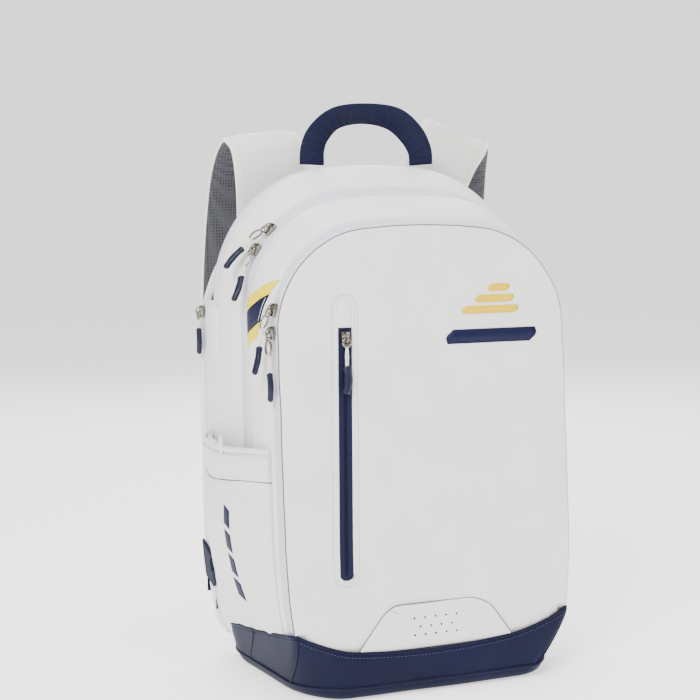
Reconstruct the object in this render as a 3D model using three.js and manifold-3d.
// A racket backpack: an arched bag in layers from back to front, on a moulded navy boot.
// Millimetres, +Z up, the front faces -Y. The origin is the middle of the boot's flat bottom.
import * as THREE from 'three';
import { mergeVertices } from 'three/addons/utils/BufferGeometryUtils.js';
import Module from 'manifold-3d';

const wasm = await Module();
wasm.setup();

// Driving dimensions of the arched outline, at the rear seam and at the front panel.
const REAR = { halfWidth: 158, top: 481, corner: 122 };
const FRONT = { halfWidth: 141, top: 422, corner: 93 };
const BACK = { halfWidth: 158, top: 462, corner: 145 };
const CROWN = 2;
const LEAN = 34;
const WALL = 2.5;
const GAP = 0.4;

// Depth of each layer's faces, from the wearer's back to the front.
const BACK_FACE = 92;
const BOARD_REAR = 88;
const BOARD_FRONT = 85;
const DIVIDER_REAR = 40;
const REAR_SEAM = 36;
const MAIN_ZIP_REAR = -8;
const MAIN_ZIP_FRONT = -22;
const POCKET_ZIP_REAR = -66;
const POCKET_ZIP_FRONT = -80;
const PANEL_FACE = -83.5;

// The boot: a moulded tray with rounded lower corners.
const BOOT_TOP = 42;
const BOOT_CORNER = 40;
const BOOT_WALL = 3;

// The racket bay's side walls stop at this height, and its mouth is open above.
const MOUTH = 352;

// Side bottle pockets.
const POCKET_TOP = 220;
const POCKET_REAR = 64;
const POCKET_FRONT = -62;
const POCKET_DEPTH = 18;
const RIM_HEIGHT = 7;

// The slanted zip on the front panel.
const FRONT_ZIP = { bottom: 107, top: 333, garageTop: 357, xBottom: -87, xTop: -79, width: 14 };

// Carry handle and shoulder straps.
const HANDLE = { foot: 58, depth: 50, rise: 58, width: 25, thickness: 3 };
const STRAP = { width: 72, thickness: 13, freeAbove: 486 };
const WEBBING = { width: 25, thickness: 2 };

const COLOURS = {
  shell: [0xe9e7e4, 0.62, 0],
  tape: [0xd5d5de, 0.8, 0],
  navy: [0x262c5a, 0.5, 0],
  webbing: [0x141a3c, 0.85, 0],
  yellow: [0xf8f040, 0.7, 0],
  mesh: [0x2a2b30, 0.9, 0],
  board: [0x3a3b40, 0.8, 0],
  metal: [0xc9c7c2, 0.3, 1],
};

const group = new THREE.Group();

function addPart(name, geometry, finish) {
  const [color, roughness, metalness] = COLOURS[finish];
  const mesh = new THREE.Mesh(geometry, new THREE.MeshStandardMaterial({ color, roughness, metalness }));
  mesh.name = name;
  group.add(mesh);
  return mesh;
}

// Solids for cutting and joining.
function toSolid(geometry) {
  const bare = geometry.clone();
  bare.deleteAttribute('normal');
  bare.deleteAttribute('uv');
  const merged = mergeVertices(bare, 1e-4);
  const vertProperties = new Float32Array(merged.attributes.position.array);
  const triVerts = new Uint32Array(merged.index.array);
  return new wasm.Manifold(new wasm.Mesh({ numProp: 3, vertProperties, triVerts }));
}

function toGeometry(solid) {
  const mesh = solid.getMesh();
  const geometry = new THREE.BufferGeometry();
  geometry.setAttribute('position', new THREE.BufferAttribute(new Float32Array(mesh.vertProperties), 3));
  geometry.setIndex(new THREE.BufferAttribute(new Uint32Array(mesh.triVerts), 1));
  geometry.computeVertexNormals();
  return geometry;
}

function moveVertices(geometry, move) {
  const position = geometry.attributes.position;
  const point = new THREE.Vector3();
  for (let i = 0; i < position.count; i += 1) {
    point.fromBufferAttribute(position, i);
    move(point);
    position.setXYZ(i, point.x, point.y, point.z);
  }
  geometry.computeVertexNormals();
  return geometry;
}

// How far forward a depth lies: 0 at the rear seam, 1 at the front panel's face.
function forward(y) {
  return THREE.MathUtils.clamp((REAR_SEAM - y) / (REAR_SEAM - PANEL_FACE), 0, 1);
}

function sectionAt(y) {
  const t = forward(y);
  return {
    halfWidth: THREE.MathUtils.lerp(REAR.halfWidth, FRONT.halfWidth, t),
    top: THREE.MathUtils.lerp(REAR.top, FRONT.top, t),
    corner: THREE.MathUtils.lerp(REAR.corner, FRONT.corner, t),
  };
}

// The front leans forward towards its foot.
function lean(point) {
  point.y -= LEAN * forward(point.y) * (1 - point.z / REAR.top);
}

// Carries a point of the rear outline to the outline at its own depth, then leans it.
function loft(point) {
  const here = sectionAt(point.y);
  const side = Math.sign(point.x);
  const rearSpring = REAR.top - CROWN - REAR.corner;
  const spring = here.top - CROWN - here.corner;
  const rearCentre = REAR.halfWidth - REAR.corner;
  const centre = here.halfWidth - here.corner;
  if (point.z <= rearSpring) {
    const rise = THREE.MathUtils.clamp((point.z - BOOT_TOP) / (rearSpring - BOOT_TOP), 0, 1);
    point.z += (spring - rearSpring) * rise;
    point.x += side * (here.halfWidth - REAR.halfWidth);
  } else if (Math.abs(point.x) <= rearCentre) {
    point.x *= centre / rearCentre;
    point.z += spring + here.corner - rearSpring - REAR.corner;
  } else {
    const dx = point.x - side * rearCentre;
    const dz = point.z - rearSpring;
    const radius = Math.hypot(dx, dz);
    const grown = (radius + here.corner - REAR.corner) / radius;
    point.x = side * centre + dx * grown;
    point.z = spring + dz * grown;
  }
  lean(point);
}

// Narrows and leans what stands on the bag's lower part.
function taper(point) {
  point.x *= sectionAt(point.y).halfWidth / REAR.halfWidth;
  lean(point);
}

// The arched outline of a section, drawn inset from its edge and standing on a base line.
function archPath(section, inset, base, baseCorner = 0) {
  const half = section.halfWidth - inset;
  const radius = section.corner - inset;
  const centre = section.halfWidth - section.corner;
  const spring = section.top - CROWN - section.corner;
  const crown = spring + radius;
  const path = new THREE.Shape();
  path.moveTo(half, base + baseCorner);
  path.lineTo(half, spring);
  path.absarc(centre, spring, radius, 0, Math.PI / 2);
  path.bezierCurveTo(centre / 2, crown, centre / 2, crown + CROWN, 0, crown + CROWN);
  path.bezierCurveTo(-centre / 2, crown + CROWN, -centre / 2, crown, -centre, crown);
  path.absarc(-centre, spring, radius, Math.PI / 2, Math.PI);
  path.lineTo(-half, base + baseCorner);
  if (baseCorner > 0) {
    path.absarc(-half + baseCorner, base + baseCorner, baseCorner, Math.PI, Math.PI * 1.5);
    path.lineTo(half - baseCorner, base);
    path.absarc(half - baseCorner, base + baseCorner, baseCorner, Math.PI * 1.5, Math.PI * 2);
  }
  return path;
}

function archStrip(section, outerInset, innerInset, base) {
  const outer = archPath(section, outerInset, base).getPoints(9);
  const inner = archPath(section, innerInset, base).getPoints(9);
  return new THREE.Shape([...outer, ...inner.reverse()]);
}

// Extrudes a front-view shape between two depths.
function layer(shape, rear, front, curveSegments = 9) {
  const depth = rear - front;
  const geometry = new THREE.ExtrudeGeometry(shape, { depth, bevelEnabled: false, curveSegments });
  geometry.rotateX(Math.PI / 2);
  geometry.translate(0, rear, 0);
  return geometry;
}

function box(low, high) {
  const geometry = new THREE.BoxGeometry(high[0] - low[0], high[1] - low[1], high[2] - low[2]);
  geometry.translate((low[0] + high[0]) / 2, (low[1] + high[1]) / 2, (low[2] + high[2]) / 2);
  return geometry;
}

function roundedRectangle(width, height, radius) {
  const x = width / 2 - radius;
  const y = height / 2 - radius;
  const shape = new THREE.Shape();
  shape.absarc(x, y, radius, 0, Math.PI / 2);
  shape.absarc(-x, y, radius, Math.PI / 2, Math.PI);
  shape.absarc(-x, -y, radius, Math.PI, Math.PI * 1.5);
  shape.absarc(x, -y, radius, Math.PI * 1.5, Math.PI * 2);
  return shape;
}

// Carries a straight bar of the given section along a curve. sideAt gives the direction of its width.
function sweep(curve, section, steps, sideAt, curveSegments = 3) {
  const options = { depth: 1, steps, bevelEnabled: false, curveSegments };
  const geometry = new THREE.ExtrudeGeometry(section, options);
  return moveVertices(geometry, (point) => {
    const t = THREE.MathUtils.clamp(point.z, 0, 1);
    const tangent = curve.getTangentAt(t);
    const side = sideAt(t, tangent).projectOnPlane(tangent).normalize();
    const face = new THREE.Vector3().crossVectors(tangent, side);
    const [across, out] = [point.x, point.y];
    point.copy(curve.getPointAt(t)).addScaledVector(side, across).addScaledVector(face, out);
  });
}

function mirrorX(geometry) {
  const solid = toSolid(geometry).mirror([1, 0, 0]);
  return toGeometry(solid);
}

// The moulded boot, the board on its floor and the corded seam round its foot.
function addBoot() {
  const outline = archPath(REAR, 0, 0, BOOT_CORNER);
  const cavity = archPath(REAR, BOOT_WALL, BOOT_WALL, BOOT_CORNER - BOOT_WALL);
  const lid = toSolid(box([-300, -300, BOOT_TOP], [300, 300, 700]));
  const outer = toSolid(layer(outline, BACK_FACE, PANEL_FACE));
  const inner = toSolid(layer(cavity, BACK_FACE - BOOT_WALL, PANEL_FACE + BOOT_WALL));
  addPart('boot', moveVertices(toGeometry(outer.subtract(lid).subtract(inner)), taper), 'navy');
  const half = REAR.halfWidth - BOOT_CORNER - 2;
  const board = box([-half, PANEL_FACE + 8, BOOT_WALL + GAP], [half, BOARD_FRONT, BOOT_WALL + GAP + 3]);
  addPart('base_board', moveVertices(board, taper), 'board');
}

// The arched side bands, and the zip tapes between them.
function addBands() {
  const wall = archStrip(REAR, 0, WALL, BOOT_TOP + GAP);
  const tape = archStrip(REAR, 0.6, 1.8, BOOT_TOP + GAP);
  const bands = [
    ['rear_gusset', wall, REAR_SEAM, MAIN_ZIP_REAR, 'shell'],
    ['main_zip_tape', tape, MAIN_ZIP_REAR - GAP, MAIN_ZIP_FRONT + GAP, 'tape'],
    ['front_gusset', wall, MAIN_ZIP_FRONT, POCKET_ZIP_REAR, 'shell'],
    ['front_pocket_zip_tape', tape, POCKET_ZIP_REAR - GAP, POCKET_ZIP_FRONT, 'tape'],
  ];
  bands.forEach(([name, shape, rear, front, finish]) => {
    addPart(name, moveVertices(layer(shape, rear, front), loft), finish);
  });
}

// Diagonal bands on the left of the front gusset. They rise towards the front.
function addStripes() {
  const skin = moveVertices(
    layer(archStrip(REAR, -0.9, -GAP, BOOT_TOP + 200), MAIN_ZIP_FRONT - 1, POCKET_ZIP_REAR + 1), loft);
  const solid = toSolid(skin);
  const [start, end] = [[-20, 313], [-80, 353]];
  const bands = [['stripe_lower', 0, 11, 'yellow'], ['stripe_middle', 12, 30, 'navy'], ['stripe_upper', 31, 43, 'yellow']];
  bands.forEach(([name, low, high, finish]) => {
    const shape = new THREE.Shape();
    shape.moveTo(start[0], start[1] + low);
    shape.lineTo(start[0], start[1] + high);
    shape.lineTo(end[0], end[1] + high);
    shape.lineTo(end[0], end[1] + low);
    const prism = new THREE.ExtrudeGeometry(shape, { depth: 200, bevelEnabled: false });
    prism.applyMatrix4(new THREE.Matrix4().makeBasis(
      new THREE.Vector3(0, 1, 0), new THREE.Vector3(0, 0, 1), new THREE.Vector3(1, 0, 0)));
    prism.translate(-200, 0, 0);
    addPart(name, toGeometry(solid.intersect(toSolid(prism))), finish);
  });
}

// Flat walls across the bag.
function addWalls() {
  const base = BOOT_TOP + GAP;
  const inside = BOOT_WALL + GAP + 3 + GAP;
  const corner = BOOT_CORNER;
  const wallInset = WALL + GAP;
  addPart('back_panel', layer(archPath(BACK, 0, base), BACK_FACE, BOARD_REAR), 'shell');
  addPart('back_board', layer(archPath(BACK, 8, base), BOARD_REAR - GAP, BOARD_FRONT), 'board');
  addPart('divider', layer(archPath(REAR, 0, base), DIVIDER_REAR, REAR_SEAM + GAP), 'mesh');
  const lining = archPath(sectionAt(POCKET_ZIP_REAR + 4), wallInset + 4, inside, corner);
  addPart('front_lining', moveVertices(layer(lining, POCKET_ZIP_REAR + 6, POCKET_ZIP_REAR + 4), lean), 'mesh');
}

// A vertical slit shape that follows the front zip's slant.
function slantedBar(width, bottom, top) {
  const slope = (FRONT_ZIP.xTop - FRONT_ZIP.xBottom) / (FRONT_ZIP.garageTop - FRONT_ZIP.bottom);
  const at = (z) => FRONT_ZIP.xBottom + (z - FRONT_ZIP.bottom) * slope;
  const points = [[-1, bottom], [1, bottom], [1, top], [-1, top]];
  return points.map(([side, z]) => new THREE.Vector2(at(z) + (side * width) / 2, z));
}

function addFrontPanel() {
  const section = sectionAt(PANEL_FACE);
  const panel = archPath(section, 0, BOOT_TOP + GAP);
  panel.holes.push(new THREE.Path(slantedBar(FRONT_ZIP.width, FRONT_ZIP.bottom, FRONT_ZIP.garageTop)));
  const rear = POCKET_ZIP_FRONT - GAP;
  const place = (shape, back, front) => moveVertices(layer(shape, back, front), lean);
  addPart('front_panel', place(panel, rear, PANEL_FACE), 'shell');
  const bar = (width, bottom, top) => new THREE.Shape(slantedBar(width, bottom, top));
  const { bottom, top, garageTop, width } = FRONT_ZIP;
  const inner = width - 2 * GAP;
  const tapeFront = PANEL_FACE + 1.4;
  addPart('front_zip_tape', place(bar(inner, bottom + GAP, top - GAP), rear, tapeFront), 'navy');
  addPart('front_zip_coil', place(bar(3.5, bottom + 4, top - 4), tapeFront - GAP, PANEL_FACE - 0.4), 'navy');
  addPart('front_zip_garage', place(bar(inner, top, garageTop - GAP), rear, PANEL_FACE - 0.6), 'shell');
  const trim = new THREE.Shape();
  trim.moveTo(-82, 44);
  trim.lineTo(82, 44);
  trim.lineTo(58, 71);
  trim.quadraticCurveTo(50, 80, 36, 80);
  trim.lineTo(-36, 80);
  trim.quadraticCurveTo(-50, 80, -58, 71);
  addPart('lower_trim_panel', place(trim, PANEL_FACE - GAP, PANEL_FACE - 2), 'shell');
}

// The racket bay: side walls, closed zips beside them, and the open tapes round its mouth.
function addRacketBay() {
  const edge = REAR.halfWidth;
  const base = BOOT_TOP + GAP;
  const seam = 79;
  [['left', -1], ['right', 1]].forEach(([name, side]) => {
    const slab = (inner, outer, rear, front) => {
      const xs = [side * inner, side * outer].sort((a, b) => a - b);
      return box([xs[0], front, base], [xs[1], rear, MOUTH]);
    };
    addPart(`racket_gusset_${name}`, slab(edge - WALL, edge, seam, DIVIDER_REAR + GAP), 'shell');
    addPart(`racket_zip_tape_${name}`, slab(edge - 1.8, edge - 0.6, BOARD_REAR - GAP, seam + GAP), 'tape');
  });
  const below = toSolid(box([-300, -300, 0], [300, 300, MOUTH + GAP]));
  const mouthTape = (section, rear, front) => {
    const whole = toSolid(layer(archStrip(section, 0, 1.5, 200), rear, front));
    return toGeometry(whole.subtract(below));
  };
  addPart('mouth_tape_rear', mouthTape(BACK, BOARD_REAR - GAP, BOARD_REAR - 10), 'tape');
  addPart('mouth_tape_front', mouthTape(REAR, DIVIDER_REAR + 9, DIVIDER_REAR + GAP), 'tape');
}

// Side bottle pockets: a pouch open at the top, with an elastic rim.
function pouchOutline(inset) {
  const near = REAR.halfWidth + 3 * GAP + inset;
  const far = REAR.halfWidth + 3 * GAP + POCKET_DEPTH - inset;
  const rear = POCKET_REAR - inset;
  const front = POCKET_FRONT + inset;
  const shape = new THREE.Shape();
  shape.moveTo(near, front);
  shape.bezierCurveTo(far, front, far, front + 18, far, front + 34);
  shape.lineTo(far, rear - 34);
  shape.bezierCurveTo(far, rear - 18, far, rear, near, rear);
  shape.lineTo(near, REAR_SEAM);
  return shape;
}

function addPockets() {
  const floor = BOOT_TOP + GAP;
  const rise = (shape, low, high) => {
    const geometry = new THREE.ExtrudeGeometry(shape, { depth: high - low, bevelEnabled: false, curveSegments: 4 });
    geometry.translate(0, 0, low);
    return toSolid(geometry);
  };
  const pouch = rise(pouchOutline(0), floor, POCKET_TOP).subtract(rise(pouchOutline(1.5), floor + 2, POCKET_TOP + 1));
  const rimTop = POCKET_TOP + GAP + RIM_HEIGHT;
  const rim = rise(pouchOutline(0), POCKET_TOP + GAP, rimTop).subtract(rise(pouchOutline(2.2), POCKET_TOP, rimTop + 1));
  [['left', true], ['right', false]].forEach(([name, flip]) => {
    const place = (solid) => moveVertices(toGeometry(flip ? solid.mirror([1, 0, 0]) : solid), taper);
    addPart(`side_pocket_${name}`, place(pouch), 'shell');
    addPart(`pocket_rim_${name}`, place(rim), 'shell');
  });
}

// Padding on the wearer's side.
function addBackPads() {
  const rear = BACK_FACE + 12;
  const place = (shape, x, z) => {
    const geometry = layer(shape, rear, BACK_FACE + GAP, 5);
    geometry.translate(x, 0, z);
    return geometry;
  };
  addPart('back_pad_left', place(roundedRectangle(88, 250, 26), -58, 268), 'mesh');
  addPart('back_pad_right', place(roundedRectangle(88, 250, 26), 58, 268), 'mesh');
  addPart('lumbar_pad', place(roundedRectangle(220, 72, 26), 0, 98), 'mesh');
}

// The webbing handle faces forward at its feet and tips back over its top.
function addHandle() {
  const base = REAR.top + 2;
  const { foot, depth, rise, width, thickness } = HANDLE;
  const top = base + rise - width * 0.4;
  const points = [[-foot, base], [-foot + 3, base + 18], [-30, top - 5], [0, top], [30, top - 5], [foot - 3, base + 18], [foot, base]];
  const curve = new THREE.CatmullRomCurve3(points.map(([x, z]) => new THREE.Vector3(x, depth, z)));
  const tip = THREE.MathUtils.degToRad(40);
  const sideAt = (t, tangent) => {
    const across = new THREE.Vector3(tangent.z, 0, -tangent.x);
    const angle = tip * Math.sin(Math.PI * t) ** 2;
    return across.multiplyScalar(Math.cos(angle)).add(new THREE.Vector3(0, Math.sin(angle), 0));
  };
  const section = new THREE.Shape(roundedRectangle(width, thickness, 1).getPoints(2));
  addPart('carry_handle', sweep(curve, section, 28, sideAt), 'webbing');
}

// The shoulder straps stand out behind the bag: the left one arches back, the right one sweeps outwards.
// Each one's root is sewn flat to the back, and the rest swings above it.
const STRAP_ROUTES = {
  left: [
    [-80, 101, 424], [-80, 101, 452], [-80, 106, 482], [-81, 118, 504], [-84, 140, 508],
    [-90, 160, 474], [-96, 168, 400], [-100, 167, 320], [-104, 155, 250], [-110, 137, 203],
  ],
  right: [
    [80, 101, 424], [92, 102, 452], [108, 107, 482], [126, 119, 506], [140, 139, 510],
    [149, 160, 480], [150, 168, 420], [142, 168, 350], [128, 162, 290], [116, 150, 240], [110, 137, 203],
  ],
};
const STRAP_TILT = { left: 0.12, right: -0.45 };
const WEBBING_ROUTE = [[112, 125.3, 170.5], [118, 118.5, 148], [130, 110, 122], [140, 103, 108]];

function curveThrough(points) {
  return new THREE.CatmullRomCurve3(points.map((p) => new THREE.Vector3(...p)));
}

// The webbing, the buckle it passes through and the wing it is sewn to, on the right side.
function lowerStrapPieces() {
  const section = roundedRectangle(WEBBING.width, WEBBING.thickness, 0.8);
  const across = () => new THREE.Vector3(1, 0, 0);
  const lockRing = roundedRectangle(36, 24, 4);
  lockRing.holes.push(roundedRectangle(27, 5, 1.5));
  const lock = new THREE.ExtrudeGeometry(lockRing, { depth: 5, bevelEnabled: false, curveSegments: 2 });
  lock.rotateX(Math.PI / 2);
  lock.rotateX(-0.35);
  lock.translate(111, 132.6, 184.2);
  const wing = new THREE.Shape();
  wing.moveTo(157, 60);
  wing.lineTo(157, 112);
  wing.lineTo(140, 98);
  wing.lineTo(128, 74);
  wing.lineTo(128, 60);
  return [
    ['strap_webbing', sweep(curveThrough(WEBBING_ROUTE), section, 8, across, 1), 'webbing'],
    ['ladder_lock', lock, 'navy'],
    ['strap_wing', layer(wing, BACK_FACE + 3, BACK_FACE + GAP), 'webbing'],
  ];
}

function addStraps() {
  const section = roundedRectangle(STRAP.width, STRAP.thickness, 5);
  Object.entries(STRAP_ROUTES).forEach(([name, route]) => {
    const across = (t) => {
      const fade = 1 - THREE.MathUtils.smoothstep(t, 0.45, 0.9);
      return new THREE.Vector3(1, 0, STRAP_TILT[name] * fade);
    };
    const strap = toSolid(sweep(curveThrough(route), section, 26, across, 2));
    const behind = (top) => toSolid(box([-220, BACK_FACE, 380], [220, BACK_FACE + 34, top]));
    addPart(`strap_root_${name}`, toGeometry(strap.intersect(behind(STRAP.freeAbove))), 'shell');
    addPart(`shoulder_strap_${name}`, toGeometry(strap.subtract(behind(STRAP.freeAbove + GAP))), 'shell');
    lowerStrapPieces().forEach(([piece, geometry, finish]) => {
      addPart(`${piece}_${name}`, name === 'left' ? mirrorX(geometry) : geometry, finish);
    });
  });
}

// A slider's place on the bag: a point on the tape, the way it runs down the zip, and outwards.
function station(point, down, out) {
  const n = new THREE.Vector3(...out).normalize();
  const u = new THREE.Vector3(...down).projectOnPlane(n).normalize();
  return { point: new THREE.Vector3(...point), down: u, out: n, across: new THREE.Vector3().crossVectors(n, u) };
}

// A point on the left shoulder of a band's arch. The angle is measured up from the spring line.
function archPoint(y, angle) {
  const { halfWidth, top, corner } = sectionAt(y);
  const centre = halfWidth - corner;
  const spring = top - CROWN - corner;
  const point = new THREE.Vector3(-centre - corner * Math.cos(angle), y, spring + corner * Math.sin(angle));
  lean(point);
  return point;
}

function stationOnArch(y, degrees) {
  const angle = THREE.MathUtils.degToRad(degrees);
  const down = archPoint(y, angle - 0.01).sub(archPoint(y, angle + 0.01));
  const ahead = archPoint(y - 1, angle).sub(archPoint(y + 1, angle));
  const out = new THREE.Vector3().crossVectors(down, ahead);
  return station(archPoint(y, angle).toArray(), down.toArray(), out.toArray());
}

function stationOnFront(z) {
  const slant = (FRONT_ZIP.xTop - FRONT_ZIP.xBottom) / (FRONT_ZIP.garageTop - FRONT_ZIP.bottom);
  const point = new THREE.Vector3(FRONT_ZIP.xBottom + (z - FRONT_ZIP.bottom) * slant, PANEL_FACE - 0.4, z);
  lean(point);
  const slope = LEAN / REAR.top;
  return station(point.toArray(), [-slant, -slope, -1], [0, -1, slope]);
}

function stationOnBay(side) {
  return station([side * REAR.halfWidth, 83.5, MOUTH - 12], [0, 0, -1], [side, 0, 0]);
}

// Each slider: where it stands, how far its pull is turned aside, and the length of its cord.
function zipSliders() {
  const mainDepth = (MAIN_ZIP_REAR + MAIN_ZIP_FRONT) / 2;
  const pocketDepth = (POCKET_ZIP_REAR + POCKET_ZIP_FRONT) / 2;
  return {
    main_upper: { at: stationOnArch(mainDepth, 43), aside: -30, cord: 16 },
    main_lower: { at: stationOnArch(mainDepth, 31), aside: 0, cord: 16 },
    pocket_upper: { at: stationOnArch(pocketDepth, 12), aside: -30, cord: 22 },
    pocket_lower: { at: stationOnArch(pocketDepth, 0), aside: 0, cord: 22 },
    front: { at: stationOnFront(FRONT_ZIP.top - 10), aside: 0, cord: 16 },
    bay_left: { at: stationOnBay(-1), aside: 0, cord: 8 },
    bay_right: { at: stationOnBay(1), aside: 0, cord: 8 },
  };
}

const SLIDER = { width: 8, length: 12, height: 3.4, lift: 0.4, bail: 4.6, bailTube: 0.7 };
const PULL = { ring: 4, ringTube: 0.6, cord: 1.1, tipLength: 26, tipWidth: 7, tipDepth: 5 };
const BAIL_HOLE = SLIDER.lift + SLIDER.height + 1.7;

// A slider stands on the tape with its length down the zip. Its bail is an arch along its middle.
function sliderSolid() {
  const { width, length, height, lift, bail, bailTube } = SLIDER;
  const plate = new THREE.ExtrudeGeometry(
    roundedRectangle(width, length, 2.5), { depth: height, bevelEnabled: false, curveSegments: 2 });
  plate.translate(0, 0, lift);
  const bend = new THREE.CatmullRomCurve3([-1, -0.72, 0, 0.72, 1].map((s) => (
    new THREE.Vector3(0, bail * s, lift + height - 0.6 + (bail + 0.2) * Math.sqrt(1 - s * s)))));
  const wire = new THREE.Shape().absarc(0, 0, bailTube, 0, Math.PI * 2);
  const arch = sweep(bend, wire, 8, () => new THREE.Vector3(1, 0, 0), 3);
  return toSolid(plate).add(toSolid(arch));
}

// A pull is a ring, a cord and a moulded tip. It lies down the zip from the bail's hole at the origin.
function pullSolid(cordLength) {
  const ring = new THREE.TorusGeometry(PULL.ring, PULL.ringTube, 6, 12);
  ring.translate(0, -PULL.ring, 0);
  const start = 2 * PULL.ring;
  const cord = new THREE.CylinderGeometry(PULL.cord, PULL.cord, cordLength + 4, 6);
  cord.translate(0, -start - cordLength / 2 - 1.8, 0);
  const tip = new THREE.ExtrudeGeometry(
    roundedRectangle(PULL.tipWidth, PULL.tipLength, 3), { depth: PULL.tipDepth, bevelEnabled: false, curveSegments: 2 });
  tip.translate(0, -start - cordLength - PULL.tipLength / 2, -PULL.tipDepth / 2);
  return toSolid(ring).add(toSolid(cord)).add(toSolid(tip));
}

function addZipSliders() {
  const slider = sliderSolid();
  Object.entries(zipSliders()).forEach(([name, { at, aside, cord }]) => {
    const frame = new THREE.Matrix4().makeBasis(at.across, at.down.clone().negate(), at.out);
    frame.setPosition(at.point);
    addPart(`slider_${name}`, toGeometry(slider).applyMatrix4(frame), 'metal');
    const turned = toGeometry(pullSolid(cord)).rotateZ(THREE.MathUtils.degToRad(aside));
    turned.translate(0, 0, BAIL_HOLE);
    addPart(`pull_${name}`, turned.applyMatrix4(frame), 'navy');
  });
}

addBoot();
addBands();
addStripes();
addWalls();
addFrontPanel();
addRacketBay();
addPockets();
addBackPads();
addHandle();
addStraps();
addZipSliders();

export default group;
